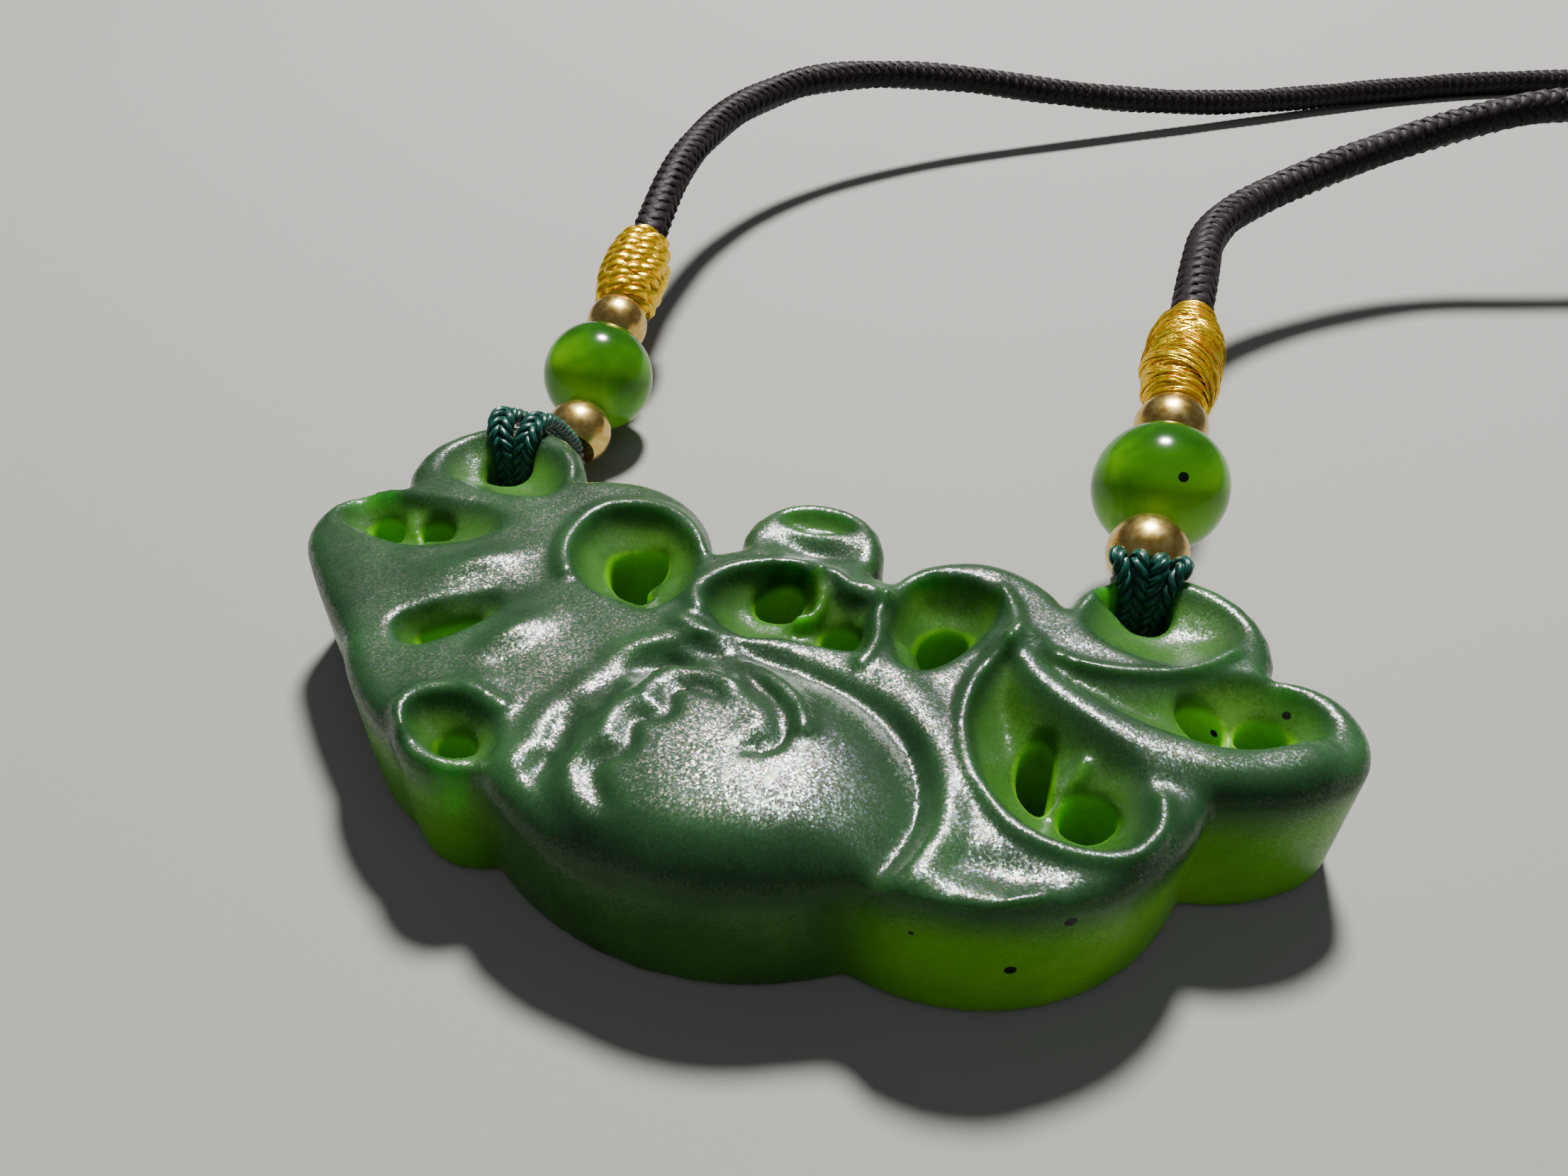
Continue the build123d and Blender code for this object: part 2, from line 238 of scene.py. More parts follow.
def make_bead_jade():
    """Clear green jade with a high polish: glassy, with faint clouds and a few dark specks."""
    material, tree, skin = new_material("polished jade")
    here = add_node(tree, "TexCoord").outputs["Object"]
    clouds = add_node(tree, "TexNoise", None,
                      {"Scale": per_metre(4.545), "Detail": 3.0, "Distortion": 0.6}, {"Vector": here})
    # Painted light: the clouded colour is darker on the top and painted lighter on the side that faces down
    # and to the front
    deep = add_node(tree, "ValToRGB", links={"Fac": clouds.outputs["Fac"]})
    colour_steps(deep, [(0.3, "#103804"), (0.5, "#1b4a06"), (0.72, "#2e660c")])
    painted_lit = add_node(tree, "ValToRGB", links={"Fac": clouds.outputs["Fac"]})
    colour_steps(painted_lit, [(0.3, "#3a8202"), (0.5, "#5ca806"), (0.72, "#8cce12")])
    facing = add_node(tree, "NewGeometry")
    downward = add_node(tree, "VectorMath", {"operation": "DOT_PRODUCT"}, {1: painted_light_side},
                        {0: facing.outputs["Normal"]})
    painted_light_share = add_node(tree, "MapRange", None, {"From Min": -0.7, "From Max": 0.5},
                        {"Value": downward.outputs["Value"]})
    body = add_node(tree, "Mix", {"data_type": "RGBA"}, None,
                    {"Factor": painted_light_share.outputs["Result"], "A": deep.outputs["Color"],
                     "B": painted_lit.outputs["Color"]})
    specks = add_node(tree, "TexVoronoi", None, {"Scale": per_metre(3.03)}, {"Vector": here})
    dot = add_node(tree, "Math", {"operation": "LESS_THAN"}, {1: 0.07}, {0: specks.outputs["Distance"]})
    colour = add_node(tree, "Mix", {"data_type": "RGBA"}, {"B": hex_colour("#1c3a0c")},
                      {"Factor": dot.outputs["Value"], "A": body.outputs["Result"]})
    # One black inclusion on the right bead's front
    aside = add_node(tree, "VectorMath", {"operation": "DISTANCE"}, {1: bead_speck}, {0: here})
    black = add_node(tree, "Math", {"operation": "LESS_THAN"}, {1: bead_speck_radius},
                     {0: aside.outputs["Value"]})
    marked = add_node(tree, "Mix", {"data_type": "RGBA"}, {"B": hex_colour("#0a1204")},
                      {"Factor": black.outputs["Value"], "A": colour.outputs["Result"]})
    tree.links.new(marked.outputs["Result"], skin.inputs["Base Color"])
    set_inputs(skin, {"Roughness": 0.16, "IOR": 1.45, "Specular IOR Level": 0.35, "Subsurface Weight": 0.6,
                      "Subsurface Radius": (0.4, 1.0, 0.15), "Subsurface Scale": 0.002})
    return material


def make_gold():
    """Gold plate on brass, polished, with the fine turning marks of a small spacer bead."""
    material, tree, skin = new_material("polished gold plate")
    here = add_node(tree, "TexCoord").outputs["Object"]
    marks = add_node(tree, "TexNoise", None, {"Scale": per_metre(0.5556), "Detail": 3.0}, {"Vector": here})
    tone = add_node(tree, "ValToRGB", links={"Fac": marks.outputs["Fac"]})
    colour_steps(tone, [(0.3, "#d0a850"), (0.7, "#f0d288")])
    tree.links.new(tone.outputs["Color"], skin.inputs["Base Color"])
    rough = add_node(tree, "MapRange", None, {"To Min": 0.2, "To Max": 0.34},
                     {"Value": marks.outputs["Fac"]})
    tree.links.new(rough.outputs["Result"], skin.inputs["Roughness"])
    dent = add_node(tree, "Bump", None, {"Strength": 0.12, "Distance": 0.00005},
                    {"Height": marks.outputs["Fac"]})
    tree.links.new(dent.outputs["Normal"], skin.inputs["Normal"])
    set_inputs(skin, {"Metallic": 1.0})
    return material


def make_thread(name, shades, roughness, fibre_mm, bump, metallic=0.0, specular=0.5):
    """Twisted filament yarn: fine fibres run slantwise along it. Their bump catches the light in streaks,
    and their colour streaks from painted shade to painted glints.
    """
    material, tree, skin = new_material(name)
    here = add_node(tree, "TexCoord").outputs["UV"]
    # U runs along the strand in millimetres and V round it, so the slant is a real twist
    lean = add_node(tree, "Mapping", None,
                    {"Rotation": (0.0, 0.0, radians(35)), "Scale": (0.25, 1.0, 1.0)}, {"Vector": here})
    fibres = add_node(tree, "TexNoise", None, {"Scale": 1.0 / fibre_mm, "Detail": 3.0},
                      {"Vector": lean.outputs["Vector"]})
    # The tones run from dark to bright along the fibres: partly their own tone, partly painted shade and
    # painted glints
    tone = add_node(tree, "ValToRGB", links={"Fac": fibres.outputs["Fac"]})
    colour_steps(tone, shades)
    tree.links.new(tone.outputs["Color"], skin.inputs["Base Color"])
    ridge = add_node(tree, "Bump", None, {"Strength": bump, "Distance": 0.00008},
                     {"Height": fibres.outputs["Fac"]})
    tree.links.new(ridge.outputs["Normal"], skin.inputs["Normal"])
    set_inputs(skin, {"Roughness": roughness, "Metallic": metallic, "Specular IOR Level": specular})
    return material


carved_jade = make_carved_jade()
bead_jade = make_bead_jade()
gold = make_gold()
# Each yarn's tones, from painted shade through its own colour to painted glints
tie_yarn = make_thread("teal silk yarn", [(0.3, "#02201c"), (0.55, "#063a31"), (0.75, "#1c7d6a")],
                       roughness=0.32, fibre_mm=0.12, bump=0.6)
gold_yarn = make_thread("golden filament", [(0.25, "#944c00"), (0.42, "#ffbe08"), (0.6, "#ffea30")],
                        roughness=0.25, fibre_mm=0.1, bump=0.7, metallic=0.85)
cord_yarn = make_thread("dark polyester braid", [(0.3, "#0c080a"), (0.55, "#1c1418"), (0.8, "#382a30")],
                        roughness=0.55, fibre_mm=0.1, bump=0.7, specular=0.15)

# Drilled beads keep their solids
for name, node in nodes.items():
    finish = bead_jade if "jade_bead" in name else gold if "gold_bead" in name else None
    if finish:
        for slot in node.material_slots:
            slot.material = finish

# The neck cord: the same way as the solid's, from the left knot to the right one

cord_route = [
    (-28, 59.5, 11.2), (-28, 72.5, 11.5), (-23.6, 86.6, 11.3), (-12.6, 99.6, 9),
    (3.4, 110.6, 5), (20.6, 123, 2.3), (38.9, 138.1, 1.55), (54, 148, 1.5),
    (71, 155, 1.5), (90, 157.8, 1.5), (109, 155.8, 1.5), (127, 148.8, 1.5),
    (141, 136, 1.5), (149, 119, 1.5), (152, 100, 1.5), (151, 81, 1.5),
    (145, 63.5, 1.5), (133, 50.5, 1.5), (117, 46.5, 1.5), (103.5, 54.5, 1.5),
    (94.5, 67.5, 2), (84.5, 79, 4.6), (72.5, 86, 9.4), (60, 87.2, 14),
    (47.5, 83.2, 16), (37.6, 79, 13.8), (28.4, 70.9, 12), (21.2, 61.9, 10.9),
    (18.4, 54.6, 10.8),
]
step_to_gold = jade_bead_radius + bead_gap + gold_bead_length / 2
wrap_start = step_to_gold + gold_bead_length / 2 + bead_gap
knot_ends = {side: wrap_start + length for side, length in wrap_lengths.items()}
route = [along_column("left", knot_ends["left"] + lead) for lead in (0, cord_lead)]
route += [Vector(point) for point in cord_route]
route += [along_column("right", knot_ends["right"] + lead) for lead in (cord_lead, 0)]


def curve_through(name, points, bevel=0.0):
    """A NURBS curve with these control points, in metres."""
    curve = bpy.data.curves.new(name, "CURVE")
    curve.dimensions = "3D"
    curve.resolution_u = 12
    curve.bevel_depth = bevel
    curve.bevel_resolution = 3
    spline = curve.splines.new("NURBS")
    spline.points.add(len(points) - 1)
    for point, place in zip(spline.points, points):
        point.co = (*(place * MM), 1.0)
    spline.order_u = 3
    spline.use_endpoint_u = True
    return curve


def read_path(curve):
    """The points that a curve with no bevel runs through."""
    line = plain_mesh("path reader", curve)
    points = np.array([v.co[:] for v in line.vertices])
    bpy.data.meshes.remove(line)
    return points


def path_marks(points):
    """How far along a path each of its points lies."""
    gaps = np.linalg.norm(np.diff(points, axis=0), axis=1)
    return np.concatenate([[0], np.cumsum(gaps)])


def even_steps(points, step):
    """The same path again in even steps of about that many millimetres, and its marks."""
    reached = path_marks(points)
    marks = np.linspace(0, reached[-1], max(2, int(round(reached[-1] / step)) + 1))
    return np.stack([np.interp(marks, reached, points[:, i]) for i in range(3)], axis=1), marks


def unit_rows(rows):
    """The same directions, each one long."""
    return rows / np.linalg.norm(rows, axis=1)[:, None]


def path_frames(points):
    """A sideways and an upright direction at each point of a path, with no sudden twist."""
    ways = unit_rows(np.gradient(points, axis=0))
    side = np.cross(ways[0], (0, 0, 1))
    sides = []
    for way in ways:
        side = side - way * side.dot(way)
        side = side / np.linalg.norm(side)
        sides.append(side)
    sides = np.array(sides)
    return sides, np.cross(sides, ways)


def turned(across, up, angle):
    """The directions at these angles round a path."""
    return across * np.cos(angle)[:, None] + up * np.sin(angle)[:, None]


def add_strand(bm, points, thick, wide=None, sides=6, facing=None):
    """A strand along a path, with its ends closed. A flat one turns its thin side to the facing
    direction at each point. UV is in millimetres."""
    wide = wide or thick
    if facing is None:
        across, up = path_frames(points)
    else:
        ways = unit_rows(np.gradient(points, axis=0))
        up = unit_rows(facing - ways * np.sum(facing * ways, axis=1)[:, None])
        across = np.cross(ways, up)
    uv = bm.loops.layers.uv.verify()
    marks = path_marks(points)
    angles = [2 * pi * i / sides for i in range(sides)]
    rings = [[bm.verts.new(point + a * (cos(t) * wide / 2) + b * (sin(t) * thick / 2)) for t in angles]
             for point, a, b in zip(points, across, up)]
    for i, (here, there) in enumerate(zip(rings, rings[1:])):
        for j in range(sides):
            k = (j + 1) % sides
            face = bm.faces.new((here[j], here[k], there[k], there[j]))
            left, right = j * pi * thick / sides, (j + 1) * pi * thick / sides
            corners = ((marks[i], left), (marks[i], right), (marks[i + 1], right), (marks[i + 1], left))
            for loop, corner in zip(face.loops, corners):
                loop[uv].uv = corner
    bm.faces.new(rings[0][::-1])
    bm.faces.new(rings[-1])


def braid(bm, line, marks, radius, pitch, strands, thick, wide, lift):
    """Strands that wind both ways round a line and pass over and under each other."""
    across, up = path_frames(line)
    for k in range(strands):
        turn = 1 if k % 2 else -1
        angle = turn * 2 * pi * marks / pitch + 2 * pi * (k // 2) / (strands // 2)
        # Each strand passes over one crossing one and under the next
        wave = np.cos(strands / 2 * angle * turn + (0 if turn > 0 else pi))
        outward = turned(across, up, angle)
        add_strand(bm, line + outward * (radius + lift * wave)[:, None], thick, wide, facing=outward)


def twist(bm, line, marks, radius, pitch, plies, thick):
    """Plies twisted round each other into one round yarn."""
    across, up = path_frames(line)
    for k in range(plies):
        outward = turned(across, up, 2 * pi * (marks / pitch + k / plies))
        add_strand(bm, line + outward * radius, thick)


def finish_mesh(bm, name):
    """The mesh of a bmesh, its faces outwards."""
    bmesh.ops.recalc_face_normals(bm, faces=bm.faces[:])
    mesh = bpy.data.meshes.new(name)
    bm.to_mesh(mesh)
    bm.free()
    return mesh


# The core fills the braid and stays under its strands
core_share = 0.8
core = curve_through("neck cord core", route, core_share * cord_diameter / 2 * MM)
core_piece = new_object("neck_cord_core", core)
core.materials.append(cord_yarn)
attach(core_piece, "root")
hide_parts("neck_cord")

cord_step = 0.42
cord_line, cord_marks = even_steps(read_path(curve_through("neck cord line", route)) / MM, cord_step)
bm = bmesh.new()
braid(bm, cord_line, cord_marks, radius=cord_diameter / 2 - 0.34, pitch=3.9, strands=6, thick=0.58,
      wide=1.3, lift=0.12)
cord_braid = into_scene("neck_cord_braid", finish_mesh(bm, "neck cord braid"), cord_yarn)

# The carving: its outline and holes as a flat curve raised to the slab's height, then carved

# lobe: start, middle and end, as shares of half the length and half the depth, as in the solid
lobes = {
    "left tip": ((-0.888, 0.477), (-1, 0.258), (-0.961, 0.023)),
    "left flank": ((-0.961, 0.023), (-0.851, -0.173), (-0.733, -0.356)),
    "second lobe": ((-0.733, -0.356), (-0.644, -0.537), (-0.527, -0.662)),
    "third lobe": ((-0.527, -0.662), (-0.436, -0.754), (-0.351, -0.718)),
    "belly": ((-0.351, -0.718), (-0.028, -0.903), (0.27, -0.725)),
    "tail lobe": ((0.27, -0.725), (0.566, -0.654), (0.762, -0.154)),
    "right flank": ((0.762, -0.154), (0.874, -0.085), (0.968, 0.05)),
    "right tip": ((0.968, 0.05), (0.989, 0.312), (0.849, 0.436)),
    "right tie lobe": ((0.849, 0.436), (0.66, 0.872), (0.489, 0.584)),
    "bowl lobe": ((0.489, 0.584), (0.338, 0.735), (0.164, 0.517)),
    "ring lobe": ((0.121, 0.537), (-0.011, 0.906), (-0.144, 0.53)),
    "volute lobe": ((-0.192, 0.47), (-0.313, 0.752), (-0.548, 0.738)),
    "left tie lobe": ((-0.548, 0.738), (-0.772, 1.04), (-0.888, 0.477)),
}
# Round bores: x, y, radius across, radius deep, turn in degrees
round_bores = {
    "left tie": (-21, 12, 1.5, 1.5, 0),
    "right tie": (17.6, 10.55, 1.5, 1.5, 0),
    "left tip outer": (-24.7, 4.4, 1, 0.85, 0),
    "left tip inner": (-21.6, 4.9, 1.05, 0.85, 0),
    "third lobe": (-11.7, -9.4, 1.1, 0.9, -10),
    "crest right": (3.1, 3.3, 1.05, 1.1, 0),
    "right tip inner": (20.8, 3.4, 1.25, 0.85, -8),
    "right tip outer": (23.7, 3.5, 1.2, 0.95, 0),
    "wing lower": (16.5, -3.8, 1.2, 1.05, 0),
}
long_bores = {
    "second lobe": [
        (-17.7, -3.2), (-17.1, -3.5), (-16.1, -2.9), (-15.2, -1.9), (-15, -1.2), (-16.2, -1.7),
        (-17.2, -2.5),
    ],
    "volute": [
        (-10.9, 5.2), (-11, 6.5), (-9.7, 7.3), (-8.3, 7.2), (-7.9, 5.7), (-8.4, 4.6), (-7.8, 3.3),
        (-8.6, 3.2), (-10.1, 4.1),
    ],
    "crest left": [(-1.9, 4.3), (-1.9, 5.6), (-0.9, 6.6), (0.1, 6.4), (0.4, 5.3), (-0.4, 4.1)],
    "bowl lobe": [(6.8, 5), (7.1, 6.2), (8.2, 7), (9.2, 6.4), (9, 4.9), (7.9, 3.4), (7.1, 3.7)],
    "wing upper": [
        (13.1, -1.9), (13.2, -0.8), (13.8, -0.2), (14.4, -0.6), (14.6, -1.8), (14.6, -3), (14.4, -3.8),
        (13.7, -3.5),
    ],
}
# Bowls scooped into the top: depth, how wide their walls are, the side that they open to in
# degrees or None, then points on the rim
bowls = {
    "left tip": (1.9, 2.4, 10, [
        (-27, 3.3), (-25.2, 2.4), (-22.9, 2), (-21, 2), (-19.4, 2.6), (-18.1, 3.6), (-17.2, 5.2),
        (-18.6, 6.6), (-21, 6.6), (-23.2, 6.3), (-25.6, 6.3), (-26.9, 5.8), (-27.4, 4.6),
    ]),
    "left tie lobe": (1.5, 3, None, [
        (-24.2, 9.6), (-24.5, 11.5), (-24, 12.9), (-22.4, 13.8), (-20.4, 13.9), (-18.2, 13.2),
        (-16.6, 12), (-15.9, 10.4), (-16.2, 8.9), (-17.6, 8.1), (-19.6, 7.9), (-21.8, 8.3),
        (-23.4, 8.7),
    ]),
    "volute": (2, 3, None, [
        (-5.9, 6.6), (-7.5, 8.2), (-9.6, 9.2), (-11.7, 8.8), (-12.5, 8), (-12.9, 6.6), (-12.6, 4.2),
        (-11.6, 2.7), (-10.2, 1.7), (-9, 1.4), (-7.7, 1), (-6.6, 1), (-5.6, 2), (-5.3, 4.2),
    ]),
    "crest": (1.6, 2.2, None, [
        (-3.9, 2.3), (-4.2, 3.4), (-3.8, 4.6), (-3, 5.5), (-1.7, 6.2), (0.1, 6.6), (1.4, 6.5),
        (2.3, 5.9), (3.2, 5.4), (4.2, 5.2), (4.4, 4.2), (4.7, 3.2), (4.8, 1.9), (4, 1.4), (2.4, 1.3),
        (0.5, 1.1), (-1, 0.6), (-2.2, 0.8), (-3.1, 1.3),
    ]),
    "bowl lobe": (2.3, 2, None, [
        (5.4, 3.9), (6, 2.2), (6.8, 1.3), (7.8, 1.4), (8.6, 2), (9.4, 3.2), (10.1, 4.6), (10.6, 6.5),
        (10.4, 8), (9, 9), (7, 8.8), (5.6, 7.6), (5.3, 5.8),
    ]),
    "right tie lobe": (1.5, 3.2, None, [
        (14.4, 8.4), (14.6, 7.2), (15.6, 6.2), (17, 5.6), (18.6, 5.4), (20.4, 6.1), (21.8, 7.4),
        (22.6, 9), (22.2, 10.2), (21, 11.2), (19, 11.8), (16.8, 11.4), (15.2, 10.2),
    ]),
    "right tip": (2, 2.6, 175, [
        (12.9, 4.1), (15.8, 3.8), (18.6, 4.3), (20.8, 5.4), (22.6, 6), (24.4, 5.8), (25.8, 5),
        (26.4, 3.6), (25.4, 2.2), (23.9, 1.1), (22.2, 0.5), (20, 0.4), (17.8, 0.8), (15.4, 2),
    ]),
    "wing": (2.4, 3.2, 50, [
        (11.4, 3.4), (10.7, 2), (10.4, 0.6), (10.4, -1.2), (10.8, -2.7), (11.4, -4.2), (12.2, -5.2),
        (13.2, -6.1), (14.4, -6.7), (15.6, -6.9), (17, -6.8), (18.1, -6.2), (18.8, -5), (18.9, -3.4),
        (18.4, -1.8), (16.8, -0.5), (14.8, 0.6), (12.9, 2),
    ]),
    "third lobe": (1.9, 2.6, -60, [
        (-13.7, -10), (-14.3, -9.2), (-14.2, -8.2), (-13.6, -7.7), (-12.7, -7.4), (-11.5, -7.6),
        (-10.2, -8), (-9.2, -9), (-9.2, -10.4), (-10.4, -11), (-11.6, -11.1), (-12.7, -10.8),
    ]),
    "second lobe": (1.8, 1.8, 35, [
        (-18.3, -4.2), (-18.7, -3.4), (-18.2, -2.4), (-17.2, -1.4), (-15.8, -0.3), (-14.6, 0.2),
        (-13.9, -0.8), (-14.4, -2.6), (-15.6, -4.2), (-16.6, -4.9), (-17.5, -4.9),
    ]),
    "ring": (1.1, 1.5, None, [
        (-2.9, 11.2), (-2, 12.1), (-0.4, 12.5), (1.2, 12.2), (1.8, 11.4), (0.6, 10.5), (-1.2, 10.2),
    ]),
    "right tie mouth": (1.9, 1.5, None, [
        (14.9, 10.2), (15.4, 11.4), (16.9, 12.2), (18.7, 12), (19.5, 10.9), (19.1, 9.6), (17.7, 8.9),
        (15.9, 9.2),
    ]),
}
# Raised lines: half their width, height, then the points they run through
raised_lines = {
    "volute lip": (0.75, 0.45, [
        (-12, 2.6), (-12.9, 4.2), (-13.2, 6.7), (-12.7, 8.2), (-11.8, 9), (-9.6, 9.4), (-7.6, 8.5),
        (-5.8, 6.9),
    ]),
    "crest lip": (0.75, 0.5, [
        (-4, 1.6), (-4.6, 2.6), (-4.5, 4), (-3.6, 5.4), (-1.9, 6.4), (0.1, 6.9), (1.6, 6.7),
        (2.9, 5.9), (4, 6), (4.8, 5.6),
    ]),
    "crest side": (0.45, 0.4, [(4.8, 5.8), (4.7, 4.4), (5, 3.2), (5.1, 1.8), (4.8, 0.6)]),
    "crest hook": (0.6, 1.2, [(0.9, 6.2), (1.4, 5.4), (1.5, 4.5), (1.2, 3.9), (0.7, 3.5)]),
    "crest band": (0.75, 0.4, [
        (-4.5, 0.5), (-3.4, 0.1), (-1.8, -0.5), (-0.1, -1.3), (1.5, -2.3), (2.9, -3.6), (3.7, -4.9),
    ]),
    "divider": (0.5, 0.4, [(10.3, 8.4), (11.2, 6.9), (11.5, 5.2), (11.4, 3.8)]),
    "wing edge": (0.5, 0.45, [
        (11.4, 3.8), (10.5, 2.2), (10.2, 0.7), (10.2, -1.2), (10.6, -2.8), (11.2, -4.3), (12, -5.4),
        (13, -6.4), (14.1, -7), (15.5, -7.3), (16.9, -7.2), (18.1, -6.8), (18.9, -5.9), (19.3, -4.6),
        (19.2, -3.4),
    ]),
    "wing back": (1.8, 0.6, [
        (11.5, 4.2), (12.9, 2.3), (14.3, 1.3), (16.1, 0.4), (17.9, -0.2), (19.4, -0.5), (20.9, -0.6),
        (22.5, -0.3), (23.9, 0.3), (25.1, 1.1),
    ]),
    "tie arc": (0.4, 0.4, [
        (11.8, 5), (14, 4.2), (15.8, 4), (17.6, 4.3), (19.3, 4.9), (20.7, 5.9), (21.9, 7.2),
    ]),
    "third lobe lip": (0.6, 0.45, [
        (-13.9, -9.8), (-14.6, -9), (-14.5, -8), (-13.8, -7.4), (-12.8, -7), (-11.4, -7.1),
        (-10.2, -7.4),
    ]),
    "tail edge": (0.4, 0.35, [
        (8.6, -11.6), (10.7, -11.3), (12.2, -11), (13.4, -10.7), (14.3, -10.1), (15.2, -9.6),
    ]),
    "web": (1.3, 0.2, [(6.3, 0.8), (7.8, -0.6), (9.2, -2.4), (10.3, -5), (10.5, -7.4), (10.1, -9.4)]),
    "left tip knob": (0.75, 0.6, [(-23.3, 4.9), (-22.9, 4.6)]),
    "wing knob": (0.5, 0.65, [(15.1, -3.5), (15.5, -2.6), (15.8, -1.8)]),
    "volute knob": (0.9, 0.5, [(-7.1, 4.6), (-6.9, 3)]),
    "bowl knob": (0.8, 0.9, [(6.6, 3.4), (6.9, 2.4)]),
}
# Soft swellings and hollows on the back: x, y, half width, half length, turn, height
swellings = [
    (-3.6, 0.6, 4.8, 4.6, 0, 0.4),
    (-16.9, 1.6, 1.1, 2.8, -50, 0.45), (-12.2, -2.8, 1.1, 2.3, -30, 0.5), (-12, -6.2, 1, 1.4, 60, 0.3),
    (-14.5, -0.4, 1.2, 2.6, -40, -0.35), (0.2, 8.9, 3, 1.1, 0, -0.8), (13, -9, 3.4, 1.2, 8, -0.35),
]
# The belly's dome: x, y, half width, half depth, then its height and how full its shoulders are
dome = (1.1, -7.3, 8.3, 6.7)
dome_top = 1.1
dome_fullness = 2.8
# The groove at its foot, deeper on the right, its width as a share of the dome, and how far the
# summit lies from the middle
foot_depth = 0.45
foot_lean = 0.7
dome_groove = 0.15
summit = (-1.6, 1.8)
# Creases where one row of feathers ends over the next, and where the crest ends over the belly. The
# left side of each line swells and then drops into it: height, how far back the swell begins, then
# the points
creases = {
    "first feathers": (0.24, 2.8, [
        (-6.4, -11.2), (-6.7, -10.5), (-6.6, -9.7), (-6, -9), (-6.2, -8.4), (-6.5, -7.7),
        (-6.4, -7.2), (-5.7, -6.8), (-5.4, -6.4), (-5.5, -5.8), (-5.7, -5.3), (-5.4, -4.8), (-4.8, -4.5),
        (-4.6, -4), (-4.9, -3.4), (-4.7, -2.8), (-4.1, -2.5), (-3.1, -2.7), (-2, -3.2),
    ]),
    "second feathers": (0.34, 2.6, [
        (-2.3, -11.6), (-3.2, -10.9), (-3.8, -10.3), (-4.2, -9.6), (-3.9, -9.1), (-3.3, -8.7),
        (-3.2, -8), (-3.5, -7.3), (-3.5, -6.8), (-2.9, -6.5), (-2.4, -6.3), (-2.2, -5.8), (-2.6, -5.2),
        (-2.5, -4.5), (-1.8, -4.2), (-0.9, -4.3), (0.2, -4.8),
    ]),
    "crest over belly": (0.12, 2.6, [
        (1, -7.3), (2, -7), (2.8, -6.5), (3.1, -5.5), (2.9, -4.5), (2.1, -3.6), (1, -3),
        (-0.4, -2.4), (-2, -2), (-3.5, -1.8), (-4.8, -1.9),
    ]),
}
crease_depth = 0.34
crease_width = 0.4
# Where the swell beside a crease is highest, as a share of its reach, and how long its ends fade
crease_crest = 0.45
crease_fade = 1.2
# The worn rounding of the edges: everywhere, along the front, at the tail, underneath, at the bores
top_rounding = 1.1
front_rounding = 2.6
tail_rounding = 0.8
base_rounding = 0.45
mouth_rounding = 0.35
# Those stretches of the edge: x of the middle, half length, and the y they lie in front of
front_stretch = (0.85, 8.0, -6)
tail_stretch = (12.0, 4.5, -7)
# The shallow scoop under each tie bore
scoop_depth = 1.75
scoop_radius = 9.0
scoop_reach = 2.2
# The faint waves that handwork leaves in the surface
hand_waves = 0.05
# A bowl's open side: how much wider its wall gets there
open_side = 1.1
# How thin a raised line gets towards its sides
lip_taper = 1.3
# The widths of the squares in the skin: before the carving and after it
blank_skin = 0.22
carved_skin = 0.235


def arc_through(start, middle, end, steps=12):
    """Points of the round arc through three points."""
    a, b, c = (complex(*point) for point in (start, middle, end))
    ratio = (c - a) / (b - a)
    centre = a + (b - a) * (ratio - abs(ratio) ** 2) / (2j * ratio.imag)
    swept = np.angle((c - centre) / (a - centre)) % (2 * pi)
    if np.angle((b - centre) / (a - centre)) % (2 * pi) > swept:
        swept -= 2 * pi
    places = centre + (a - centre) * np.exp(1j * swept * np.linspace(0, 1, steps + 1))
    return np.stack([places.real, places.imag], axis=1)


def carving_outline():
    """The lobes' arcs one after another. A straight edge joins the ring lobe to each neighbour."""
    arcs = []
    for lobe, points in lobes.items():
        arc = arc_through(*[(x * half_length, y * half_depth) for x, y in points])
        arcs.append(arc if lobe in ("bowl lobe", "ring lobe") else arc[:-1])
    return np.concatenate(arcs)


def smooth_line(points, closed=False):
    """A smooth line through points in plan, in millimetres."""
    curve = bpy.data.curves.new("carved line", "CURVE")
    curve.dimensions = "3D"
    spline = curve.splines.new("BEZIER")
    spline.bezier_points.add(len(points) - 1)
    spline.resolution_u = 6
    for knot, (x, y) in zip(spline.bezier_points, points):
        knot.co = (x, y, 0)
        knot.handle_left_type = knot.handle_right_type = "AUTO"
    spline.use_cyclic_u = closed
    return read_path(curve)[:, :2]


def ellipse(x, y, across, deep, turn, steps=28):
    """A round or oval loop in plan, turned by so many degrees."""
    angles = np.linspace(0, 2 * pi, steps, endpoint=False)
    places = (across * np.cos(angles) + 1j * deep * np.sin(angles)) * np.exp(1j * radians(turn))
    return np.stack([x + places.real, y + places.imag], axis=1)


def distance_to(places, line, closed, reach):
    """How far each place is from a line in plan, where that is less than the reach."""
    far = np.full(len(places), reach)
    low, high = line.min(axis=0) - reach, line.max(axis=0) + reach
    near = np.all((places > low) & (places < high), axis=1)
    here = places[near]
    best = far[near]
    ends = np.roll(line, -1, axis=0) if closed else line[1:]
    for a, b in zip(line, ends):
        run = b - a
        along = np.clip((here - a) @ run / max(run @ run, 1e-9), 0, 1)
        gap = here - a - along[:, None] * run
        best = np.minimum(best, np.hypot(gap[:, 0], gap[:, 1]))
    far[near] = best
    return far


def inside(places, line):
    """Which places lie inside a closed line."""
    result = np.zeros(len(places), bool)
    low, high = line.min(axis=0), line.max(axis=0)
    near = np.all((places > low) & (places < high), axis=1)
    x, y = places[near].T
    odd = np.zeros(len(x), bool)
    for (ax, ay), (bx, by) in zip(line, np.roll(line, -1, axis=0)):
        crossed = (ay > y) != (by > y)
        odd ^= crossed & (x < ax + (y - ay) * (bx - ax) / (by - ay + 1e-12))
    result[near] = odd
    return result


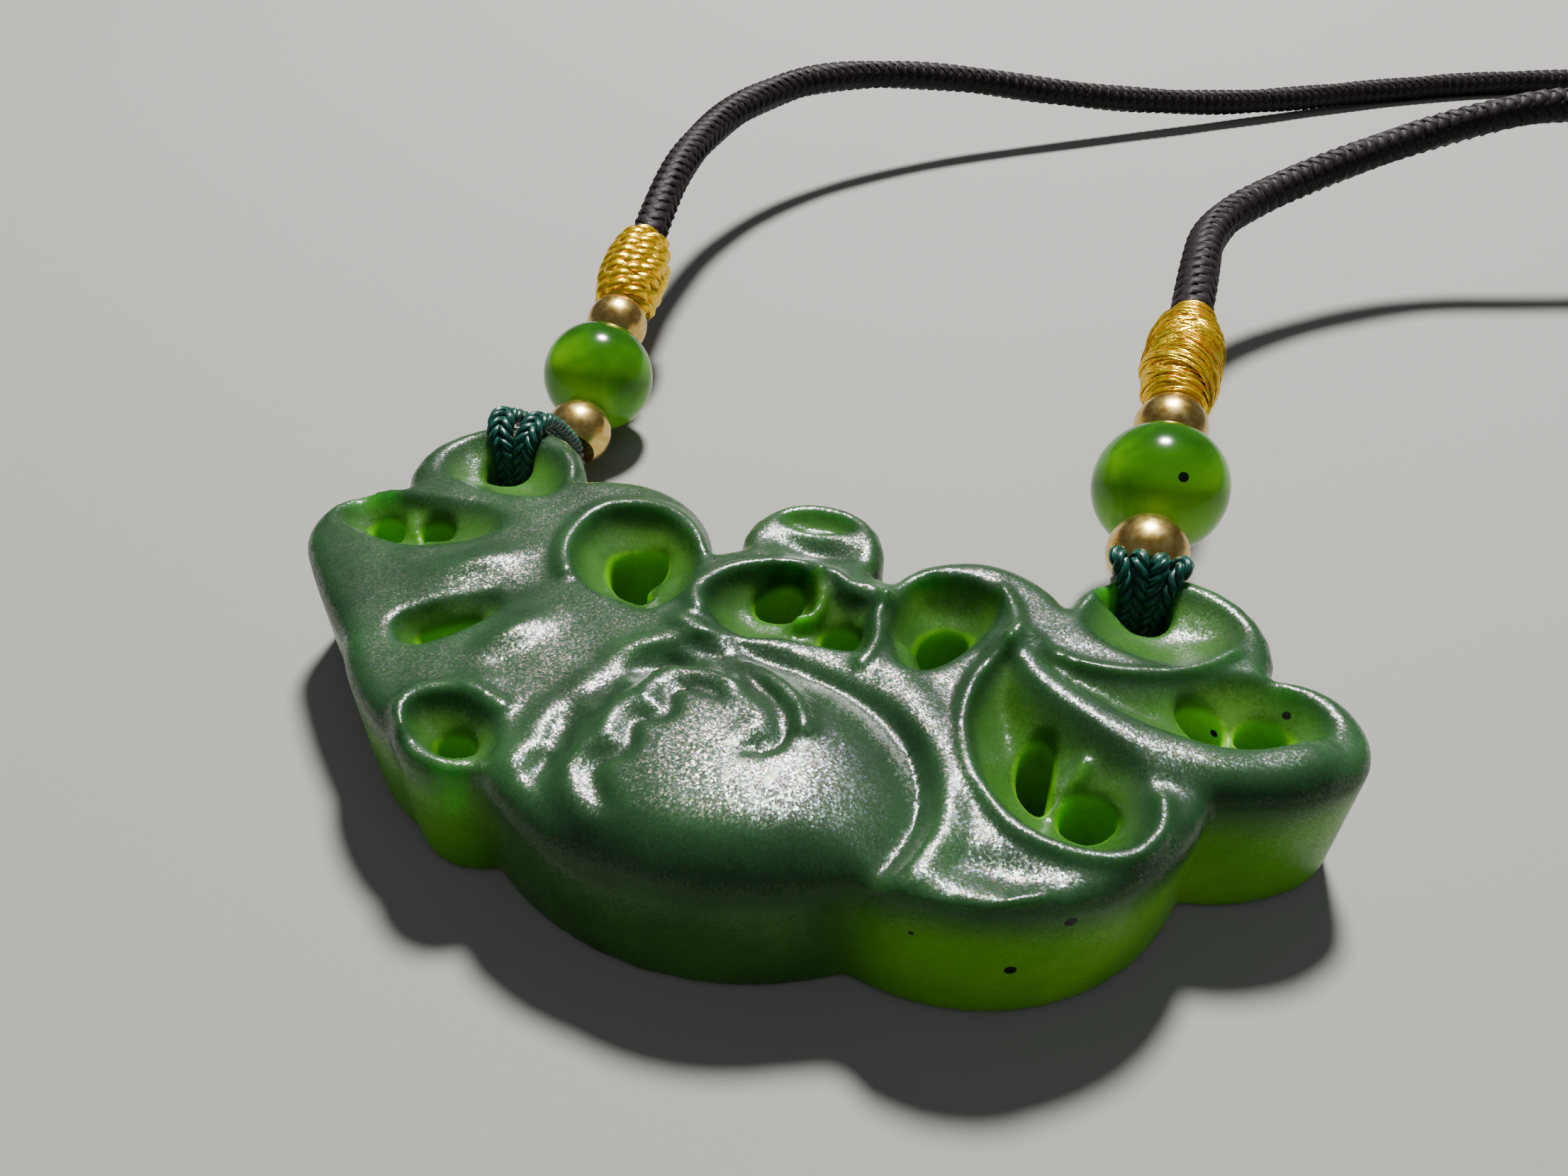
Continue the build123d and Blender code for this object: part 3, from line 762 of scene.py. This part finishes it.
def round_over(distance, radius):
    """How far a rounded edge has dropped at a distance in from the edge."""
    short = np.clip(radius - distance, 0, radius)
    return radius - np.sqrt(radius**2 - short**2)


def ease(value):
    """Goes softly from 0 to 1 as the value does, and stays level beyond."""
    value = np.clip(value, 0, 1)
    return value * value * (3 - 2 * value)


def crease_height(places, line, height, reach):
    """A swell on the left side of a line, which slopes down to the line. There the right side
    steps up again."""
    ways = np.diff(line, axis=0)
    along_line = path_marks(line)
    best = np.full(len(places), np.inf)
    side = np.zeros(len(places))
    reached = np.zeros(len(places))
    for a, run, start in zip(line, ways, along_line):
        long = max(np.hypot(*run), 1e-6)
        along = np.clip((places - a) @ run / long**2, 0, 1)
        gap = places - a - along[:, None] * run
        far = np.hypot(*gap.T)
        closer = far < best
        best = np.where(closer, far, best)
        side = np.where(closer, run[0] * gap[:, 1] - run[1] * gap[:, 0], side)
        reached = np.where(closer, start + along * long, reached)
    ridge = reach * crease_crest
    slope = np.minimum(best / ridge, 1)
    swell = np.where(side > 0, slope * ease((reach - best) / (reach - ridge)), 0)
    groove = crease_depth * np.where(side > 0, 1 - slope, 1 - ease(best / crease_width))
    fade = ease(np.minimum(reached, along_line[-1] - reached) / crease_fade)
    return (height * swell - groove) * fade


outline = carving_outline()
bore_lines = {name: ellipse(*row) for name, row in round_bores.items()}
bore_lines.update({name: smooth_line(points, True) for name, points in long_bores.items()})
bowl_rims = {name: smooth_line(row[-1], True) for name, row in bowls.items()}
raised_paths = {name: smooth_line(row[-1]) for name, row in raised_lines.items()}
crease_paths = {name: smooth_line(row[-1]) for name, row in creases.items()}


def carved_heights(places):
    """The top and the underside of the carving at places in plan, and how deep in a bowl each is."""
    x, y = places.T
    top = slab_height + hand_waves * np.sin(0.9 * x + 1.3 * np.sin(0.6 * y)) * np.cos(0.8 * y + 0.4 * x)
    for sx, sy, wide, deep, turn, height in swellings:
        local = (x - sx + 1j * (y - sy)) * np.exp(-1j * radians(turn))
        share = (local.real / wide) ** 2 + (local.imag / deep) ** 2
        top += height * np.exp(-1.5 * share)

    # The belly, a low dome with a groove at its foot
    cx, cy, rx, ry = dome
    share = np.hypot((x - cx) / rx, (y - cy) / ry)
    foot = foot_depth * (1 + foot_lean * (x - cx) / (rx * np.maximum(share, 0.2)))
    for _ in range(4):
        raised = np.clip(1 - share, 0, 1)
        share = np.hypot((x - cx - raised * summit[0]) / rx, (y - cy - raised * summit[1]) / ry)
    swell = slab_height + dome_top - (dome_top + foot) * np.minimum(share, 1) ** dome_fullness
    groove = slab_height - foot * (1 - ease((share - 1) / dome_groove))
    top = np.where(share < 1, swell, np.where(share < 1 + dome_groove, np.minimum(top, groove), top))
    for name, path in crease_paths.items():
        height, reach, _ = creases[name]
        top += crease_height(places, path, height, reach)

    depth = np.zeros(len(x))
    for name, rim in bowl_rims.items():
        bowl_depth, wall, opening, _ = bowls[name]
        within = inside(places, rim)
        from_rim = np.where(within, distance_to(places, rim, True, (1 + open_side) * wall), 0)
        reach = np.full(len(x), wall)
        if opening is not None:
            aside = places - rim.mean(axis=0)
            facing = aside @ (cos(radians(opening)), sin(radians(opening))) / (np.hypot(*aside.T) + 0.01)
            reach *= 1 + open_side * ease((facing + 0.2) / 1.2)
        short = np.clip(1 - from_rim / reach, 0, 1)
        depth = np.maximum(depth, bowl_depth * (1 - short**2))
    top = top - depth

    for name, path in raised_paths.items():
        width, height, _ = raised_lines[name]
        near = distance_to(places, path, False, 2.0)
        top += height * (1 - np.clip(near / width, 0, 1) ** 2) ** lip_taper

    edge = distance_to(places, outline, True, 4.0)
    edge = np.where(inside(places, outline), edge, 0)
    front, tail = (np.exp(-((x - middle) / half) ** 4) * (y < before)
                   for middle, half, before in (front_stretch, tail_stretch))
    rounding = top_rounding + (front_rounding - top_rounding) * front * (1 - tail)
    top -= round_over(edge, rounding + (tail_rounding - rounding) * tail)
    for line in bore_lines.values():
        top -= round_over(distance_to(places, line, True, 1.0), mouth_rounding)

    base = round_over(edge, base_rounding)
    for bore_x, bore_y, *_ in columns.values():
        away = np.hypot(x - bore_x, y - bore_y - scoop_reach)
        lift = scoop_depth - scoop_radius + np.sqrt(np.clip(scoop_radius**2 - away**2, 0, None))
        base = np.maximum(base, lift)
    return top, base, depth


def remesh(mesh, size):
    """The same body with an even skin of squares of about that size."""
    holder = new_object("carving blank", mesh)
    skin = holder.modifiers.new("even skin", "REMESH")
    skin.mode = "VOXEL"
    skin.voxel_size = size
    ready = holder.evaluated_get(bpy.context.evaluated_depsgraph_get())
    result = bpy.data.meshes.new_from_object(ready)
    bpy.data.objects.remove(holder)
    return result


def smooth_skin(mesh, rounds, strength):
    """Wears a skin smooth."""
    bm = bmesh.new()
    bm.from_mesh(mesh)
    for _ in range(rounds):
        bmesh.ops.smooth_vert(bm, verts=bm.verts[:], factor=strength, use_axis_x=True, use_axis_y=True,
                              use_axis_z=True)
    bm.to_mesh(mesh)
    bm.free()


def vertex_places(mesh):
    """The places of a mesh's vertices, one a row."""
    places = np.empty(len(mesh.vertices) * 3)
    mesh.vertices.foreach_get("co", places)
    return places.reshape(-1, 3)


def flat_blank():
    """The slab with its outline and bores, before the carving."""
    blank = bpy.data.curves.new("carving outline", "CURVE")
    blank.dimensions = "2D"
    blank.fill_mode = "BOTH"
    blank.extrude = slab_height / 2
    for line in [outline, *bore_lines.values()]:
        spline = blank.splines.new("POLY")
        spline.points.add(len(line) - 1)
        for point, (x, y) in zip(spline.points, line):
            point.co = (x, y, 0, 1)
        spline.use_cyclic_u = True
    body = plain_mesh("carving outline", blank)
    body.transform(Matrix.Translation((0, 0, slab_height / 2)))
    return body


def painted_glow_shares(body):
    """How much painted glow each vertex gets, from 0 to 1, where light would come through the jade."""
    places = vertex_places(body)
    plan, height = places[:, :2], places[:, 2]
    _, _, depth = carved_heights(plan)
    normals = np.empty(len(places) * 3)
    body.vertices.foreach_get("normal", normals)

    # Painted glow for light that comes through the jade: the bowls down to 1.2 mm, and most their far
    # walls, which face the front
    far_wall = ease(-1.6 * normals.reshape(-1, 3)[:, 1])
    painted_glow = (0.2 + 0.14 * far_wall) * ease(depth / 1.2)
    # Painted glow on the walls of the bores within half a millimetre, less where thread fills them
    for name, line in bore_lines.items():
        near = distance_to(plan, line, True, 1.0)
        strength = 0.3 if "tie" in name else 1.0
        painted_glow = np.maximum(painted_glow, strength * ease((0.45 - near) / 0.4) * ease((7.2 - height) / 0.8))
    # Painted glow on the walls of the rim, brighter downwards, and least on the thick belly in the middle
    edge = distance_to(plan, outline, True, 2.0)
    thin = 0.15 + 0.6 * ease(-(plan[:, 0] + 8) / 5) + 0.7 * ease((plan[:, 0] - 6) / 5)
    wall = ease((1.4 - edge) / 1.2) * ease((8.0 - height) / 3.2)
    return np.clip(np.maximum(painted_glow, thin * wall), 0, 1)


def make_carving():
    """The slab, cut out and then carved by moving its skin up and down."""
    body = remesh(flat_blank(), blank_skin)
    places = vertex_places(body)
    top, base, _ = carved_heights(places[:, :2])
    places[:, 2] = base + np.clip(places[:, 2] / slab_height, 0, 1) * (top - base)
    body.vertices.foreach_set("co", places.ravel())
    body.update()
    body = remesh(body, carved_skin)
    smooth_skin(body, 2, 0.5)
    # The painted glow, kept on the skin for the colour to read
    layer = body.attributes.new("painted_glow", "FLOAT", "POINT")
    layer.data.foreach_set("value", painted_glow_shares(body))
    return body


carving = into_scene("carved_phoenix", make_carving(), carved_jade)
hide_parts("jade_phoenix")

# The knots wound with golden thread: radii at the two ends and at the widest place, a share of
# the length from the lower end
wrap_radii = {"lower": 2.15, "middle": 2.7, "upper": 1.8}
wrap_middle = 0.45
# The core under the winding: how much thinner it is, its least radius, its rings and their points
core_under = 0.42
core_least = 0.3
core_rings = 25
core_points = 24


def wrap_radius(share):
    """The knot's radius at a share of its length: a smooth line through its three radii."""
    low, mid, high = wrap_radii.values()
    m = wrap_middle
    return (low * (share - m) * (share - 1) / m + mid * share * (1 - share) / (m * (1 - m))
            + high * share * (share - m) / (1 - m))


def round_the_knot(side, share, angle, outside):
    """Points at shares of the knot's length and angles round it, that far out from its middle."""
    across, up, way = (np.array(v) for v in column_axes(side))
    start = np.array(along_column(side, wrap_start))
    out = wrap_radius(share) + outside
    return (start + np.outer(share * wrap_lengths[side], way) + np.outer(out * np.cos(angle), across)
            + np.outer(out * np.sin(angle), up))


def knot_core(bm, side):
    """The plain barrel that the thread is wound on."""
    angles = np.linspace(0, 2 * pi, core_points, endpoint=False)
    edges = []
    for share in np.linspace(0, 1, core_rings):
        radius = max(wrap_radius(share) - core_under, core_least)
        places = round_the_knot(side, np.full(core_points, share), angles, radius - wrap_radius(share))
        ring = [bm.verts.new(place) for place in places]
        edges += [bm.edges.new(pair) for pair in zip(ring, ring[1:] + ring[:1])]
    bmesh.ops.bridge_loops(bm, edges=edges)
    bmesh.ops.holes_fill(bm, edges=bm.edges[:], sides=0)


# The left knot: close rows of a two-ply yarn, which sinks a little into the knot's outline and
# stops short of its ends
wound_rows = 9
wound_ends = 0.045
yarn_sink = 0.55
bm = bmesh.new()
knot_core(bm, "left")
marks = np.linspace(0, 1, 700)
helix = round_the_knot("left", marks * (1 - 2 * wound_ends) + wound_ends, 2 * pi * wound_rows * marks,
                       -yarn_sink)
helix_line, helix_marks = even_steps(helix, 0.22)
twist(bm, helix_line, helix_marks, radius=0.27, pitch=2.9, plies=2, thick=0.8)
left_wrap = into_scene("left_wound_thread", finish_mesh(bm, "left wound thread"), gold_yarn)
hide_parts("left_wrapped_knot")

# The right knot: bundles of filament laid slantwise over each other, a little untidy. The first
# of them lie nearly level and the rest climb. Turns round the knot, and climb as a share of it.
# Small waves in each bundle and filament keep the winding uneven
bundle_count = 44
level_share = 0.4
level_bundle = {"turns": (1.0, 1.3), "climb": (0.06, 0.14)}
steep_bundle = {"turns": (0.45, 0.8), "climb": (0.22, 0.42)}
points_per_turn = 34
# Each bundle starts that share of the knot on from the last one, so that they spread evenly
start_step = 0.618
filaments = (-1.5, -0.5, 0.5, 1.5)
filament_gap = 0.024
# The first bundles lie that deep and the last ones that much further out, and the ends sink in
deepest_bundle = 0.42
bundles_rise = 0.36
end_sink = 0.25
bm = bmesh.new()
knot_core(bm, "right")
chance = np.random.default_rng(7)
for k in range(bundle_count):
    bundle = steep_bundle if k > bundle_count * level_share else level_bundle
    turns = chance.uniform(*bundle["turns"])
    climb = chance.uniform(*bundle["climb"])
    low = (k * start_step) % 1 * (1 - climb)
    way = -1 if k % 5 == 0 else 1
    marks = np.linspace(0, 1, int(points_per_turn * turns))
    angle = chance.uniform(0, 2 * pi) + 2 * pi * turns * marks * way
    share = low + climb * marks + 0.012 * np.sin(8 * marks + k)
    layer = bundles_rise * k / bundle_count - deepest_bundle + 0.08 * np.sin(6 * marks + 2 * k)
    sink = end_sink * (1 - ease(np.minimum(marks, 1 - marks) / 0.15))
    for filament in filaments:
        aside = filament * filament_gap * (1 + 0.35 * np.sin(5 * marks + k))
        dip = 0.05 * abs(filament) + 0.05 * np.sin(11 * marks + 3 * filament + k)
        places = np.clip(share + aside, 0.01, 0.99)
        points = round_the_knot("right", places, angle, layer - dip - sink)
        add_strand(bm, points, thick=0.2, wide=0.32, sides=5)
right_wrap = into_scene("right_wound_thread", finish_mesh(bm, "right wound thread"), gold_yarn)
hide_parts("right_wrapped_knot")

# The tie threads: four fine yarns side by side, up through the bore, over the rim and under it.
# They twist to one side and the other in turn, as the halves of a braid do

# side: how far out from the bore's middle the rim and the bead's face lie, how far the stem
# reaches past the beads, then for each yarn its sideways place in the bore, over the rim and at
# the bead
ties = {
    "left": (3.58, 7.35, 0.5, [(-0.8, -1.9, -0.8), (-0.25, -1.05, -0.3), (0.3, 0.5, 0.25),
                               (0.8, 1.3, 0.75)]),
    "right": (2.4, 3.07, 0.2, [(-0.8, -1.75, -1.2), (-0.25, -0.6, -0.4), (0.3, 0.55, 0.4),
                               (0.85, 1.7, 1.2)]),
}
yarn_pitch = 1.9

for side, (rim, meeting, stem_past, places) in ties.items():
    bore = Vector((columns[side][0], columns[side][1], 0))
    bead_end = along_column(side, -wrap_start + bead_gap)
    outward = Vector((bead_end.x - bore.x, bead_end.y - bore.y, 0)).normalized()
    aside_way = outward.cross(Vector((0, 0, 1)))
    bead_height = bead_end.z
    bm = bmesh.new()
    for k, (at_bore, at_rim, at_bead) in enumerate(places):
        # Out from the bore, up and sideways
        loop = [
            (0.75, 2.2, at_bore), (0.7, 5.0, at_bore), (0.75, 7.0, at_bore * 1.1), (1.5, 8.3, at_rim * 0.8),
            (rim * 0.75, 8.85, at_rim), (rim + 0.3, 8.5, at_rim),
            (meeting, bead_height + 1.3, at_bead * 1.2), (meeting + 0.1, bead_height, at_bead),
            (meeting, bead_height - 1.3, at_bead * 1.2),
            (rim + 0.25, 1.2, at_rim * 0.9), (rim * 0.7, 0.6, at_rim * 0.8), (1.0, 0.7, at_bore),
            (0.75, 2.2, at_bore),
        ]
        points = [bore + outward * out + Vector((0, 0, up)) + aside_way * aside
                  for out, up, aside in loop]
        line, marks = even_steps(read_path(curve_through("tie thread line", points)) / MM, 0.14)
        twist(bm, line, marks, radius=0.26, pitch=yarn_pitch if k % 2 else -yarn_pitch, plies=3, thick=0.5)
    stem = np.array([along_column(side, -wrap_start - stem_past), along_column(side, wrap_start)])
    stem_line, stem_marks = even_steps(stem, 0.3)
    twist(bm, stem_line, stem_marks, radius=0.22, pitch=2.0, plies=3, thick=0.44)
    tie = into_scene(f"{side}_braided_tie", finish_mesh(bm, f"{side} braided tie"), tie_yarn)
    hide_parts(f"{side}_tie_thread")

# Camera at the photograph's angle, floor and light. The focal length in the
# photograph's pixels and its width, how far below level the camera looks, its heading in plan,
# and its place in millimetres
focal_pixels, picture_width = 1534.0, 2212.0
camera_dip = radians(39.83)
camera_heading = (-0.3173, 0.9483)
camera_place = (13.35, -36.5, 44.65)

camera_data = bpy.data.cameras.new("camera")
camera_data.sensor_width = 36.0
camera_data.lens = camera_data.sensor_width * focal_pixels / picture_width
camera_data.clip_start = 0.002
camera_data.clip_end = 10.0
camera = new_object("camera", camera_data)
east, north = camera_heading
camera_way = Vector((east * cos(camera_dip), north * cos(camera_dip), -sin(camera_dip)))
camera.location = Vector(camera_place) * MM
camera.rotation_euler = camera_way.to_track_quat("-Z", "Y").to_euler()
bpy.context.scene.camera = camera


def add_light(name, place, size, power, colour):
    """A round soft light that points at the row's middle."""
    light = bpy.data.lights.new(name, "AREA")
    light.shape = "DISK"
    light.size = size
    light.energy = power
    light.color = colour
    holder = new_object(name, light)
    holder.location = place
    holder.rotation_euler = (lit_middle - Vector(place)).to_track_quat("-Z", "Y").to_euler()
    return holder


lit_middle = Vector((0.0, 0.02, 0.0))
add_light("key light", (-0.04, 0.34, 0.56), size=0.1, power=13.5, colour=(1.0, 0.99, 0.95))
fill = add_light("front fill", (0.3, -0.7, 0.9), size=1.6, power=3.2, colour=(0.94, 0.97, 1.0))
# The fill only lifts the shadows: no pale disc of it shows in the beads
fill.visible_glossy = False

world = bpy.data.worlds.new("soft room")
world.use_nodes = True
set_inputs(world.node_tree.nodes["Background"], {"Color": hex_colour("#dfe3e6"), "Strength": 0.13})
bpy.context.scene.world = world

floor_mesh = bpy.data.meshes.new("floor")
bm = bmesh.new()
bmesh.ops.create_grid(bm, x_segments=1, y_segments=1, size=4.0)
bm.to_mesh(floor_mesh)
bm.free()
floor_material, _, floor_skin = new_material("plain pale floor")
set_inputs(floor_skin, {"Base Color": hex_colour("#848380"), "Roughness": 0.8})
floor_mesh.materials.append(floor_material)
floor = new_object("floor", floor_mesh)
floor.location.z = -0.02 * MM
